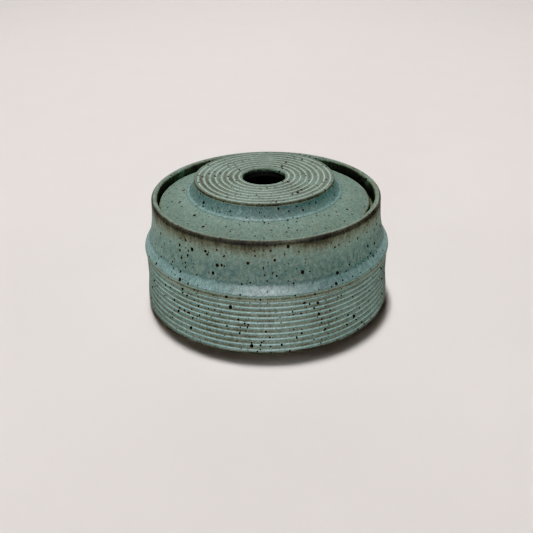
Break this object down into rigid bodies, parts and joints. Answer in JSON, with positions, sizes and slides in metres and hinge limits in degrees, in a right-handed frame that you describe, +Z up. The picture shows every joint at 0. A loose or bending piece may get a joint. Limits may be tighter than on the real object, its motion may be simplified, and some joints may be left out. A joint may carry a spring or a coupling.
{
  "type": "flower frog",
  "caption": "Low round stoneware flower frog: a grooved bowl with a flared shoulder, and a lift-off lid whose raised, ring-grooved disc has a central stem hole.",
  "frame": {"origin": "on the floor, at the centre of the bowl's foot ring", "axes": "+Z up along the bowl's axis, out through the lid; X and Y are free, and the lid rests 1 mm towards -X in its side play"},
  "size_m": [0.1547, 0.1548, 0.0814],
  "materials": {
    "speckled_glaze": "satin-matt sea-green stoneware glaze with iron speckles, breaking brown on the edges and pooling pale in the grooves"
  },
  "bodies": {
    "bowl": {"bowl": "speckled_glaze"},
    "lid": {"frog_lid": "speckled_glaze"}
  },
  "joints": [
    {"name": "lid_lift", "type": "slide", "parent": "bowl", "child": "lid", "axis": [0, 0, 1], "range_m": [0, 0.04]}
  ]
}
